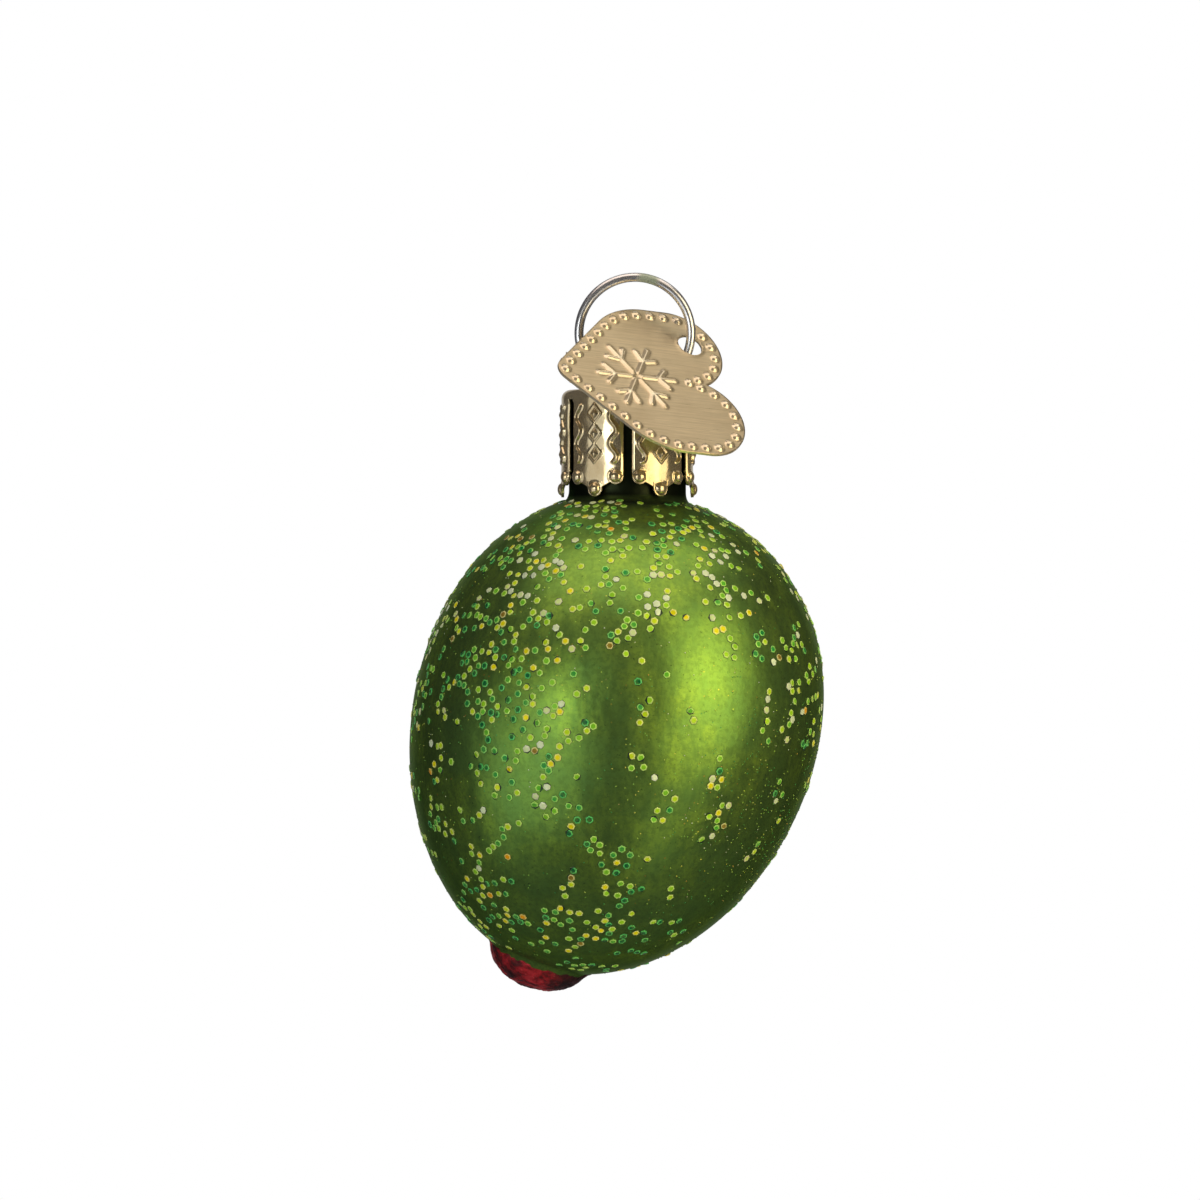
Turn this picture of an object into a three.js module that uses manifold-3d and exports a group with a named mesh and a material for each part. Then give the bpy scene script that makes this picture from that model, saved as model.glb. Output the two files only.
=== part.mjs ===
// Olive ornament: a blown-glass olive with a folded sheet-metal cap, a sprung wire hanger and a stamped
// heart tag. Millimetres, +Z up, seen from -Y. Pieces are drawn in the neck's frame, whose origin is the
// centre of the cap's flat top. At the end they move together, so that the part's origin is the point under
// the top of the hanger's ring where a hook bears.
import * as THREE from "three";
import { mergeVertices } from "three/addons/utils/BufferGeometryUtils.js";
import Module from "manifold-3d";

const wasm = await Module();
wasm.setup();
const { degToRad } = THREE.MathUtils;

// Glass olive
const oliveRadius = 18.65;
const crownLength = 20.95; // widest ring up to the crown's pole
const crownSquareness = 2.13; // exponent of the outline, where 2 is an ellipse
const tailLength = 23.9; // widest ring down to the tail's pole
const tailSquareness = 1.95;
const glassWall = 0.8;
const oliveOffset = -1.0; // the widest ring's centre, along X from the neck's axis
const leanSideways = degToRad(16.6); // the tail swings towards -X
const leanBack = degToRad(4); // the tail swings towards +Y
const pimientoRadius = 4.8;
const pimientoHalfHeight = 3.5;
const pimientoProud = 2.0; // beyond the tail's pole
const pimientoShift = -0.55; // off the olive's axis, sideways
const neckWall = 0.8;
const neckFlare = 0.55;

// Folded cap
const capRadius = 6.05;
const capSheet = 0.25;
const foldRadius = 0.8;
const strapCount = 6;
const strapSlot = 0.78; // width of the slot between two straps
const slotDepth = 0.9; // from the flat top down to the head of each slot
const strapLength = 9.72; // from the flat top down to the end of the middle scallop
const scallopRadius = 0.72;
const sideScallopRise = 1.1; // the side scallops end higher than the middle one
const beadRadius = 0.5;
const beadHeight = 0.32;
const waveTop = 1.4;
const waveBottom = 6.8;
const waveCount = 2.25; // periods of each wavy rib
const waveSwing = 0.3;
const waveRibRadius = 0.2;
const waveOffset = 1.85; // from the middle of a strap, along its arc
const lozengeCount = 3;
const lozengeWidth = 1.3;
const lozengeLength = 1.6;
const lozengeHeight = 0.2;

// Sprung wire hanger
const wireRadius = 0.43;
const ringRadius = 5.12; // to the wire's centreline
const ringCentreHeight = 5.2; // above the cap's flat top
const ringCentreShift = 0.69; // the ring stands a little to one side of the neck's axis
const ringSweep = degToRad(118); // each way from the top of the ring
const legOffset = 3.0; // each leg's hole, from the neck's axis
const waistHeight = 0.95;
const drawTravel = 2.0; // how far the hanger can be drawn up through the cap
const legStraight = 1.3; // straight length of each leg below the cap that the draw leaves
const legSplayEnd = 10.2; // below the flat top
const legLength = 12.4; // below the flat top
const legTurnIn = 0.6;

// Stamped heart tag
const tagSheet = 0.25;
const lobeRadius = 4.6;
const lobeOffset = 4.15;
const lobeHeight = 4.9;
const flankHeight = 2.7; // between here and the lobe the side is straight
const flankRadius = 7.2;
const flankSweep = degToRad(46);
const tipRadius = 1.5;
const tagHoleRadius = 1.22;
const tagHoleX = -4.85;
const tagHoleY = 6.5;
const tagBeadCount = 40;
const tagBeadInset = 0.75;
const cleftBeadInset = 1.8;
const tagBeadRadius = 0.36;
const tagBeadHeight = 0.24;
const tagRingAngle = degToRad(-13.6); // where the tag hangs on the ring, from +X
const tagHeading = degToRad(31.5); // which way the tag faces, from -Y towards +X
const tagTurn = degToRad(6.8); // about its own normal, from lying on its side

// Clearances
const seatGap = 0.2; // the glass neck's rim under the cap
const neckGap = 0.4; // the neck inside the straps
const shoulderGap = 0.35; // the strap ends above the glass
const legGap = 0.3; // the legs inside the neck
const holeGap = 0.3; // the wire in the cap's holes
const tagGap = 0.45; // the tag's back off the cap's fold

// Fineness
const oliveSides = 48;
const oliveSteps = 12; // from the widest ring to a pole
const hollowSides = 32;
const hollowSteps = 8;
const neckSides = 32;
const capSides = 48;
const foldSteps = 4;
const waveSteps = 11;
const ribSides = 4;
const capBeadSides = 8;
const tagBeadSides = 6;
const beadSteps = 4;
const drillSides = 16;
const tagHoleSides = 20;
const heartSteps = 14; // along each arc of the heart's outline
const wireSides = 8;
const wireSteps = 72;
const ringSteps = 12; // path points along the ring
const crownSamples = 36; // round the neck's axis, for the crown's height there

// Sizes that follow from the ones above
const neckRadius = capRadius - capSheet - neckGap;
const boreRadius = neckRadius - neckWall;
const strapPitch = (2 * Math.PI) / strapCount;
const scallopOffset = strapPitch / 2 * capRadius - strapSlot / 2 - scallopRadius;
const legSplay = boreRadius - legGap - wireRadius;
const hookHeight = ringCentreHeight + ringRadius - wireRadius;

// Turns a closed three.js geometry into a solid that can be joined and cut.
function toSolid(geometry, matrix = new THREE.Matrix4()) {
  const bare = new THREE.BufferGeometry();
  const source = geometry.index ? geometry.toNonIndexed() : geometry;
  bare.setAttribute("position", source.getAttribute("position").clone());
  bare.applyMatrix4(matrix);
  const merged = mergeVertices(bare, 1e-4);
  const mesh = new wasm.Mesh({
    numProp: 3,
    vertProperties: merged.attributes.position.array,
    triVerts: new Uint32Array(merged.index.array),
  });
  return new wasm.Manifold(mesh);
}

function toGeometry(solid) {
  const mesh = solid.getMesh();
  const geometry = new THREE.BufferGeometry();
  geometry.setAttribute("position", new THREE.BufferAttribute(mesh.vertProperties, mesh.numProp));
  geometry.setIndex(new THREE.BufferAttribute(mesh.triVerts, 1));
  geometry.computeVertexNormals();
  return geometry;
}

// Revolves a profile of (radius, height) points about Z. The profile runs from the top down on its outside.
function revolve(profile, sides) {
  const upwards = [...profile].reverse();
  return new THREE.LatheGeometry(upwards, sides).rotateX(Math.PI / 2);
}

function arcPoints(centreX, centreY, radiusX, radiusY, from, to, steps) {
  const points = [];
  for (let i = 0; i <= steps; i++) {
    const angle = from + ((to - from) * i) / steps;
    points.push(new THREE.Vector2(centreX + radiusX * Math.cos(angle), centreY + radiusY * Math.sin(angle)));
  }
  return points;
}

// A closed ring of points, without repeating the first.
function ringPoints(centreX, centreY, radius, sides) {
  return arcPoints(centreX, centreY, radius, radius, 0, 2 * Math.PI, sides).slice(0, sides);
}

// A unit ball stretched to an ellipsoid and placed with its short axis along a direction.
function ellipsoid(centre, outward, acrossRadius, outRadius, sides, rings) {
  const turn = new THREE.Quaternion().setFromUnitVectors(new THREE.Vector3(0, 1, 0), outward);
  const size = new THREE.Vector3(acrossRadius, outRadius, acrossRadius);
  const matrix = new THREE.Matrix4().compose(centre, turn, size);
  return toSolid(new THREE.SphereGeometry(1, sides, rings), matrix);
}

// Pushes a bead out of a sheet: a dome on its face and a hollow behind it.
function emboss(sheet, thickness, beads, radius, height, sides) {
  let embossed = sheet;
  for (const { point, outward } of beads) {
    embossed = embossed.add(ellipsoid(point, outward, radius, height, sides, beadSteps));
  }
  for (const { point, outward } of beads) {
    const behind = point.clone().addScaledVector(outward, -thickness);
    const hollow = ellipsoid(behind, outward, radius - thickness / 2, height, sides, beadSteps);
    embossed = embossed.subtract(hollow);
  }
  return embossed;
}

const oliveUp = new THREE.Vector3(Math.tan(leanSideways), -Math.tan(leanBack), 1).normalize();
const oliveTurn = new THREE.Quaternion().setFromUnitVectors(new THREE.Vector3(0, 0, 1), oliveUp);

// Height of the crown's surface above the widest ring's centre, straight over a point of the neck's frame.
function crownHeight(x, y) {
  const back = oliveTurn.clone().invert();
  let inside = 0;
  let outside = 2 * crownLength;
  while (outside - inside > 1e-6) {
    const middle = (inside + outside) / 2;
    const point = new THREE.Vector3(x - oliveOffset, y, middle).applyQuaternion(back);
    const across = Math.hypot(point.x, point.y) / oliveRadius;
    const along = Math.max(point.z, 0) / crownLength;
    if (across ** crownSquareness + along ** crownSquareness < 1) inside = middle;
    else outside = middle;
  }
  return inside;
}

// The highest glass under a ring about the neck's axis.
function crownHeightAround(radius) {
  const heights = [];
  for (let i = 0; i < crownSamples; i++) {
    const angle = (i * 2 * Math.PI) / crownSamples;
    heights.push(crownHeight(radius * Math.cos(angle), radius * Math.sin(angle)));
  }
  return { highest: Math.max(...heights), lowest: Math.min(...heights) };
}

const oliveCentreZ = -strapLength - shoulderGap - crownHeightAround(capRadius).highest;

// A quarter of a superellipse, from one angle to another.
function superArc(radius, length, squareness, from, to, steps) {
  return arcPoints(0, 0, 1, 1, from, to, steps).map(({ x, y }) => new THREE.Vector2(
    radius * Math.abs(x) ** (2 / squareness), length * Math.sign(y) * Math.abs(y) ** (2 / squareness)));
}

// The olive with the pimiento swelling out of its tail, drawn in by an inset.
function oliveBody(inset, sides, steps) {
  const radius = oliveRadius - inset;
  const crown = superArc(radius, crownLength - inset, crownSquareness, Math.PI / 2, 0, steps);
  const tail = superArc(radius, tailLength - inset, tailSquareness, 0, -Math.PI / 2, steps);
  crown[0].x = 0;
  tail[steps].x = 0;
  const place = new THREE.Matrix4().compose(
    new THREE.Vector3(oliveOffset, 0, oliveCentreZ), oliveTurn, new THREE.Vector3(1, 1, 1));
  const olive = toSolid(revolve([...crown, ...tail.slice(1)], sides), place);
  const depth = tailLength + pimientoProud - pimientoHalfHeight;
  const centre = new THREE.Vector3(pimientoShift, 0, -depth).applyMatrix4(place);
  return olive.add(
    ellipsoid(centre, oliveUp, pimientoRadius - inset, pimientoHalfHeight - inset, sides / 2, steps));
}

function glassOlive() {
  const rimZ = -capSheet - seatGap;
  const shoulder = crownHeightAround(neckRadius + neckFlare);
  const shoulderZ = oliveCentreZ + shoulder.highest;
  const rootZ = oliveCentreZ + shoulder.lowest - glassWall / 2;
  const flare = arcPoints(
    neckRadius + neckFlare, shoulderZ + neckFlare, neckFlare, neckFlare, Math.PI, 1.5 * Math.PI, foldSteps);
  const neck = toSolid(revolve([
    new THREE.Vector2(0, rimZ),
    new THREE.Vector2(neckRadius, rimZ),
    ...flare,
    new THREE.Vector2(neckRadius + neckFlare, rootZ),
    new THREE.Vector2(0, rootZ),
  ], neckSides));
  const boreEndZ = rootZ - 2 * glassWall - neckFlare;
  const bore = toSolid(revolve([
    new THREE.Vector2(0, rimZ + 1),
    new THREE.Vector2(boreRadius, rimZ + 1),
    new THREE.Vector2(boreRadius, boreEndZ),
    new THREE.Vector2(0, boreEndZ),
  ], neckSides));
  const outside = oliveBody(0, oliveSides, oliveSteps).add(neck);
  const inside = oliveBody(glassWall, hollowSides, hollowSteps).add(bore);
  return toGeometry(outside.subtract(inside));
}

// A point on the cap's outer wall: an arc length from a strap's middle line, and a depth below the flat top.
function onCap(strap, arc, depth, lift = 0) {
  const angle = (strap + 0.5) * strapPitch + arc / capRadius;
  const outward = new THREE.Vector3(Math.sin(angle), -Math.cos(angle), 0);
  const point = outward.clone().multiplyScalar(capRadius + lift);
  point.z = -depth;
  return { point, outward };
}

function capShell() {
  const inner = capRadius - capSheet;
  const flat = capRadius - foldRadius;
  const outerFold = arcPoints(flat, -foldRadius, foldRadius, foldRadius, Math.PI / 2, 0, foldSteps);
  const innerRadius = foldRadius - capSheet;
  const innerFold = arcPoints(flat, -foldRadius, innerRadius, innerRadius, 0, Math.PI / 2, foldSteps);
  return toSolid(revolve([
    new THREE.Vector2(0, 0),
    ...outerFold,
    new THREE.Vector2(capRadius, -strapLength),
    new THREE.Vector2(inner, -strapLength),
    ...innerFold,
    new THREE.Vector2(0, -capSheet),
  ], capSides));
}

// What is missing from the wall between two neighbouring straps: the slot and the scallops' voids.
function slotCutter() {
  const middle = strapPitch * capRadius / 2;
  const middleZ = -strapLength + scallopRadius;
  const sideZ = middleZ + sideScallopRise;
  const sideX = middle - scallopOffset;
  const rise = Math.atan2(sideScallopRise, scallopOffset);
  const outline = [
    new THREE.Vector2(strapSlot / 2, -slotDepth),
    ...arcPoints(sideX, sideZ, scallopRadius, scallopRadius, Math.PI, 1.5 * Math.PI - rise, 4),
    ...arcPoints(middle, middleZ, scallopRadius, scallopRadius, 1.5 * Math.PI - rise, 1.48 * Math.PI, 3),
    new THREE.Vector2(middle, -strapLength - 1),
  ];
  // The cutter is pushed straight through the round wall, so arc lengths become distances across the view.
  const across = outline.map((p) => new THREE.Vector2(capRadius * Math.sin(p.x / capRadius), p.y));
  const mirrored = across.map((p) => new THREE.Vector2(-p.x, p.y)).reverse();
  const shape = new THREE.Shape([...across, ...mirrored]);
  const reach = 2 * foldRadius;
  const geometry = new THREE.ExtrudeGeometry(shape, { depth: 2 * reach, bevelEnabled: false });
  return geometry.rotateX(Math.PI / 2).translate(0, reach - capRadius, 0);
}

function waveRib(strap, side) {
  const points = [];
  for (let i = 0; i <= waveSteps; i++) {
    const share = i / waveSteps;
    const arc = side * waveOffset + waveSwing * Math.cos(share * waveCount * 2 * Math.PI);
    points.push(onCap(strap, arc, waveTop + share * (waveBottom - waveTop)).point);
  }
  const section = new THREE.Shape(ringPoints(0, 0, waveRibRadius, ribSides));
  const path = new THREE.CatmullRomCurve3(points);
  const settings = { steps: waveSteps, extrudePath: path, bevelEnabled: false };
  return toSolid(new THREE.ExtrudeGeometry(section, settings));
}

// A low four-sided point standing on the strap, in a column between the two wavy ribs.
function lozenge(strap, index) {
  const spacing = (waveBottom - waveTop) / lozengeCount;
  const { point, outward } = onCap(strap, 0, waveTop + spacing * (index + 0.5), -capSheet / 2);
  const up = new THREE.Vector3(0, 0, 1);
  const turn = new THREE.Matrix4().makeBasis(new THREE.Vector3().crossVectors(outward, up), outward, up);
  const rise = lozengeHeight + capSheet / 2;
  const shape = new THREE.ConeGeometry(1, rise, 4).translate(0, rise / 2, 0);
  shape.scale(lozengeWidth / 2, 1, lozengeLength / 2);
  return toSolid(shape, turn.setPosition(point));
}

function foldedCap() {
  let cap = capShell();
  const slot = slotCutter();
  for (let strap = 0; strap < strapCount; strap++) {
    cap = cap.subtract(toSolid(slot, new THREE.Matrix4().makeRotationZ(strap * strapPitch)));
  }
  for (const side of [-1, 1]) {
    const holeRadius = wireRadius + holeGap;
    const drill = new THREE.CylinderGeometry(holeRadius, holeRadius, 4 * capSheet, drillSides);
    cap = cap.subtract(toSolid(drill.rotateX(Math.PI / 2).translate(side * legOffset, 0, 0)));
  }
  const beads = [];
  for (let strap = 0; strap < strapCount; strap++) {
    for (const side of [-1, 1]) {
      cap = cap.add(waveRib(strap, side));
      beads.push(onCap(strap, side * scallopOffset, strapLength - scallopRadius - sideScallopRise));
    }
    beads.push(onCap(strap, 0, strapLength - scallopRadius));
    for (let i = 0; i < lozengeCount; i++) cap = cap.add(lozenge(strap, i));
  }
  return toGeometry(emboss(cap, capSheet, beads, beadRadius, beadHeight, capBeadSides));
}

function hangerPath() {
  const lean = Math.atan2(ringCentreShift, ringCentreHeight);
  const leg = (side) => [
    new THREE.Vector3(side * (legSplay - legTurnIn), 0, -legLength),
    new THREE.Vector3(side * legSplay, 0, -legSplayEnd),
    new THREE.Vector3(side * legOffset, 0, -drawTravel - legStraight),
    new THREE.Vector3(side * legOffset, 0, -drawTravel / 2),
    new THREE.Vector3(side * legOffset, 0, waistHeight),
  ];
  const ring = [];
  for (let i = 0; i <= ringSteps; i++) {
    const angle = lean - ringSweep + (2 * ringSweep * i) / ringSteps;
    ring.push(new THREE.Vector3(
      ringCentreShift + ringRadius * Math.sin(angle), 0, ringCentreHeight + ringRadius * Math.cos(angle)));
  }
  return new THREE.CatmullRomCurve3([...leg(-1), ...ring, ...leg(1).reverse()]);
}

function wireHanger() {
  const section = new THREE.Shape(ringPoints(0, 0, wireRadius, wireSides));
  const settings = { steps: wireSteps, extrudePath: hangerPath(), bevelEnabled: false };
  return toGeometry(toSolid(new THREE.ExtrudeGeometry(section, settings)));
}

const flankCentreX = lobeOffset + lobeRadius - flankRadius;
const flankEnd = new THREE.Vector2(
  flankCentreX + flankRadius * Math.cos(flankSweep), flankHeight - flankRadius * Math.sin(flankSweep));
const tipCentreY = flankEnd.y + (tipRadius - Math.cos(flankSweep) * flankEnd.x) / Math.sin(flankSweep);

// The heart's outline, or a line inset from it, from the cleft round the +X lobe to the tip.
function heartHalf(inset, cleftY) {
  const lobe = lobeRadius - inset;
  const flank = flankRadius - inset;
  const tip = Math.max(tipRadius - inset, 0.1);
  const cleft = Math.PI - Math.atan2(cleftY - lobeHeight, lobeOffset);
  const path = new THREE.Path();
  path.moveTo(0, cleftY);
  path.absarc(lobeOffset, lobeHeight, lobe, cleft, 0, true);
  path.absarc(flankCentreX, flankHeight, flank, 0, -flankSweep, true);
  path.absarc(0, tipCentreY, tip, -flankSweep, -Math.PI / 2, true);
  return path;
}

function heartTag() {
  const cleftY = lobeHeight + Math.sqrt(lobeRadius ** 2 - lobeOffset ** 2);
  const half = heartHalf(0, cleftY).getPoints(heartSteps);
  const otherHalf = half.slice(1, -1).reverse().map((p) => new THREE.Vector2(-p.x, p.y));
  const shape = new THREE.Shape([...half, ...otherHalf]);
  shape.holes.push(new THREE.Path(ringPoints(tagHoleX, tagHoleY, tagHoleRadius, tagHoleSides)));
  const plate = new THREE.ExtrudeGeometry(shape, { depth: tagSheet, bevelEnabled: false });
  plate.translate(-tagHoleX, -tagHoleY, -tagSheet / 2);

  const beadLine = heartHalf(tagBeadInset, cleftY - cleftBeadInset).getSpacedPoints(tagBeadCount / 2);
  const beadSpots = [...beadLine, ...beadLine.slice(1, -1).map((p) => new THREE.Vector2(-p.x, p.y))];
  const outward = new THREE.Vector3(0, 0, 1);
  const beads = beadSpots.map((p) => ({
    point: new THREE.Vector3(p.x - tagHoleX, p.y - tagHoleY, tagSheet / 2), outward }));
  return toGeometry(emboss(toSolid(plate), tagSheet, beads, tagBeadRadius, tagBeadHeight, tagBeadSides));
}

// The tag hangs by its hole from the ring's side and leans on the cap's front fold.
function placeTag(mesh) {
  const hole = new THREE.Vector3(
    ringCentreShift + ringRadius * Math.cos(tagRingAngle),
    0,
    ringCentreHeight + ringRadius * Math.sin(tagRingAngle));
  const heading = new THREE.Vector3(Math.sin(tagHeading), -Math.cos(tagHeading), 0);
  const level = new THREE.Vector3(Math.cos(tagHeading), Math.sin(tagHeading), 0);
  // The fold is an arc about a line set in from the cap's edge, and the tag's back rests just off it.
  const reach = capRadius - foldRadius - hole.dot(heading);
  const rise = hole.z + foldRadius;
  const rest = foldRadius + tagGap + tagSheet / 2;
  const tilt = Math.atan2(reach, rise) + Math.asin(rest / Math.hypot(reach, rise));
  const normal = heading.clone().multiplyScalar(Math.cos(tilt)).setZ(Math.sin(tilt));
  const upSlope = new THREE.Vector3().crossVectors(normal, level);
  const across = upSlope.clone().negate();
  mesh.quaternion.setFromRotationMatrix(new THREE.Matrix4().makeBasis(across, level, normal));
  mesh.rotateZ(-tagTurn);
  mesh.position.copy(hole);
}

const lacquer = new THREE.MeshStandardMaterial({ color: 0x3f7a1c, metalness: 0.7, roughness: 0.38 });
const paleGold = new THREE.MeshStandardMaterial({ color: 0xc8ac7c, metalness: 1, roughness: 0.32 });
const springSteel = new THREE.MeshStandardMaterial({ color: 0xd0d2d4, metalness: 1, roughness: 0.15 });

function piece(name, geometry, material) {
  const mesh = new THREE.Mesh(geometry, material);
  mesh.name = name;
  return mesh;
}

const assembly = new THREE.Group();
assembly.add(piece("glass_olive", glassOlive(), lacquer));
assembly.add(piece("cap", foldedCap(), paleGold));
assembly.add(piece("wire_hanger", wireHanger(), springSteel));
const tag = piece("heart_tag", heartTag(), paleGold);
placeTag(tag);
assembly.add(tag);
assembly.position.set(-ringCentreShift, 0, -hookHeight);

const ornament = new THREE.Group();
ornament.add(assembly);

export default ornament;
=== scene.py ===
"""The looks of the olive ornament: glass, glitter, cap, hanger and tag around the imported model.

Sizes are in millimetres. They are turned into metres where a mesh is made.
"""

import itertools
import math
import random

import bpy
import numpy as np
from mathutils import Matrix, Vector, noise
from mathutils.geometry import delaunay_2d_cdt, tessellate_polygon


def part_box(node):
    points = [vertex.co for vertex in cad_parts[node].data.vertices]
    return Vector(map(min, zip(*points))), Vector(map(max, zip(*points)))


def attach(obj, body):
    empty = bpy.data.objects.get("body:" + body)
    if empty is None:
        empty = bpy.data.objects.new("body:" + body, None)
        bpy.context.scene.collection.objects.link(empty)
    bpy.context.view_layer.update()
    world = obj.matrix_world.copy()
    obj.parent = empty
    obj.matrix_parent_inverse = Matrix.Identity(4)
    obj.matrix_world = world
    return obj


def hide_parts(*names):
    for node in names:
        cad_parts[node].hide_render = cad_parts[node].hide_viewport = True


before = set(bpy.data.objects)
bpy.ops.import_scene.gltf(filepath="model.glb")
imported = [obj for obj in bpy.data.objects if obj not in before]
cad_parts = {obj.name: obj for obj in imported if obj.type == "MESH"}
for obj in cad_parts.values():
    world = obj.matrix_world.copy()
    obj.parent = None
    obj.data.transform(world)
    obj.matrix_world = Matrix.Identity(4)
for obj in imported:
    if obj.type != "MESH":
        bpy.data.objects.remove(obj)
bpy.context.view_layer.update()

MM = 0.001

# Glass olive, as in the model
OLIVE_RADIUS = 18.58
CROWN_LENGTH = 20.92
CROWN_SQUARENESS = 2.13
TAIL_LENGTH = 23.86
TAIL_SQUARENESS = 1.95
SQUARENESS_BLEND = 0.5
GLASS_WALL = 0.8
OLIVE_OFFSET = -1.0
LEAN_SIDEWAYS = math.radians(16.6)
LEAN_BACK = math.radians(4)
NUB_RADIUS = 4.75
NUB_HALF_HEIGHT = 3.5
NUB_PROUD = 1.95
NUB_SHIFT = -0.55
NUB_BLEND = 0.5
UNEVENNESS = 0.08

# Neck
NECK_RADIUS = 5.35
NECK_WALL = 0.8
NECK_RIM_DEPTH = 0.45
FILLET_OUT = 1.4
FILLET_UP = 1.3
SHOULDER_GAP = 0.37

# Pimiento coat
COAT_THICKNESS = 0.14
COAT_UNDER = 0.12
COAT_SPAN = math.radians(13.0)
COAT_BACK = math.radians(1.8)
COAT_RAGGEDNESS = 0.10
COAT_FINE_RAGGEDNESS = 0.04
COAT_LUMP = 0.16
COAT_GRIT = 0.07

# Cap
CAP_RADIUS = 6.03
CAP_SHEET = 0.25
CAP_WOBBLE = 0.06
FOLD_RADIUS = 0.8
STRAP_COUNT = 6
STRAP_PITCH = 2 * math.pi / STRAP_COUNT
STRAP_SLOT = 0.78
SLOT_DEPTH = 0.9
STRAP_LENGTH = 9.8
SEAT_DEPTH = 9.72
SCALLOP_RADIUS = 0.72
SIDE_SCALLOP_RISE = 1.1
BRIDGE_DROP = 0.25
BEAD_RADIUS = 0.57
BEAD_HEIGHT = 0.38
BEAD_RING_RADIUS = 0.68
BEAD_RING_HEIGHT = 0.05
WAVE_TOP = 1.4
WAVE_BOTTOM = 6.8
WAVE_COUNT = 2.25
WAVE_SWING = 0.3
WAVE_OFFSET = 1.85
WAVE_HEIGHT = 0.32
WAVE_WIDTH = 0.15
LOZENGE_COUNT = 3
LOZENGE_WIDTH = 1.3
LOZENGE_LENGTH = 1.6
LOZENGE_HEIGHT = 0.25
PRESSED_DEPTH = 0.14

# Half the width of a strap, and its scallops' centres: arc length from the middle, and depth
STRAP_HALF = STRAP_PITCH / 2 * CAP_RADIUS - STRAP_SLOT / 2
SCALLOP_ARC = STRAP_HALF - SCALLOP_RADIUS
SCALLOP_DEPTH = STRAP_LENGTH - SCALLOP_RADIUS
SCALLOPS = (
    (0, SCALLOP_DEPTH),
    (SCALLOP_ARC, SCALLOP_DEPTH - SIDE_SCALLOP_RISE),
    (-SCALLOP_ARC, SCALLOP_DEPTH - SIDE_SCALLOP_RISE),
)

# Hanger
WIRE_RADIUS = 0.42
RING_RADIUS = 5.12
RING_CENTRE_HEIGHT = 5.2
RING_SHIFT = 0.69
RING_SWEEP = math.radians(118)
LEG_OFFSET = 3.0
LEG_SPLAY = 3.87
LEG_TURN_IN = 0.6
LEG_SPLAY_END = 10.2
LEG_LENGTH = 12.4
LEG_STRAIGHT_END = 3.3
LEG_STRAIGHT_START = 1
WAIST_HEIGHT = 0.95
WIRE_HOLE_RADIUS = 0.73

# Tag
TAG_SHEET = 0.25
LOBE_RADIUS = 4.6
LOBE_OFFSET = 4.15
LOBE_HEIGHT = 4.9
FLANK_HEIGHT = 2.7
FLANK_RADIUS = 7.2
FLANK_SWEEP = math.radians(46)
TIP_RADIUS = 1.5
TAG_HOLE_RADIUS = 1.22
TAG_HOLE = np.array([-4.85, 6.5])
TAG_BEAD_COUNT = 40
TAG_BEAD_INSET = 0.75
CLEFT_BEAD_INSET = 1.8
TAG_BEAD_RADIUS = 0.44
TAG_BEAD_HEIGHT = 0.28
SNOWFLAKE_CENTRE = np.array([0, -0.3])
ARM_START = 0.5
ARM_END = 3.9
ARM_FORK = 2.2
BRANCH_LENGTH = 1.35
BRANCH_TURN = math.radians(50)
STROKE_HEIGHT = 0.17
STROKE_WIDTH = 0.24
STAMPED_HEIGHT = 0.06
TAG_RING_ANGLE = math.radians(-13.6)
TAG_HEADING = math.radians(31.5)
TAG_TURN = math.radians(6.8)
TAG_GAP = 0.45

# Fineness of the meshes
GLASS_COLUMNS = 240
OUTER_ROWS = 170
INNER_ROWS = 40
COAT_COLUMNS = 200
COAT_ROWS = 60
FOLD_ROWS = 9
STRAP_ROWS = 104
STRAP_CELLS = 68
SLOT_CELLS = 6
HOLE_SIDES = 40
WIRE_SIDES = 24
WIRE_STEPS = 16
RING_BENDS = 13
TAG_HALF_OUTLINE = 182
TAG_HOLE_SIDES = 64
TAG_NET_PITCH = 0.135
OUTLINE_MARGIN = 0.09
HOLE_MARGIN = 0.08

# Floor
FLOOR_HEIGHT = -160
FLOOR_RADIUS = 450
FLOOR_COLUMNS = 96
FLOOR_ROWS = 12

# Camera, from the photograph's scale and centre
FRAME_WIDTH = 109.68
FRAME_CENTRE_X = -3.2
FRAME_CENTRE_Z = -29.07
CAMERA_DISTANCE = 600
SENSOR_WIDTH = 36


def smooth_step(value, low, high):
    share = np.clip((value - low) / (high - low), 0, 1)
    return share * share * (3 - 2 * share)


def unit(vectors):
    return vectors / np.linalg.norm(vectors, axis=-1, keepdims=True)


def noise_at(points, scale):
    return np.array([noise.noise(Vector(point) * scale) for point in points])


def circle(sides):
    angles = np.linspace(0, 2 * np.pi, sides, endpoint=False)
    return np.stack([np.cos(angles), np.sin(angles)], axis=-1)


def make_piece(name, points, faces, materials, face_materials=None, smooth=True):
    """A mesh object from points in millimetres."""
    mesh = bpy.data.meshes.new(name)
    mesh.from_pydata((np.asarray(points, float) * MM).tolist(), [], faces)
    for material in materials:
        mesh.materials.append(material)
    if face_materials is not None:
        mesh.polygons.foreach_set("material_index", np.asarray(face_materials, np.int32))
    mesh.polygons.foreach_set("use_smooth", np.full(len(mesh.polygons), smooth))
    mesh.update()
    piece = bpy.data.objects.new(name, mesh)
    bpy.context.scene.collection.objects.link(piece)
    return piece


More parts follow.
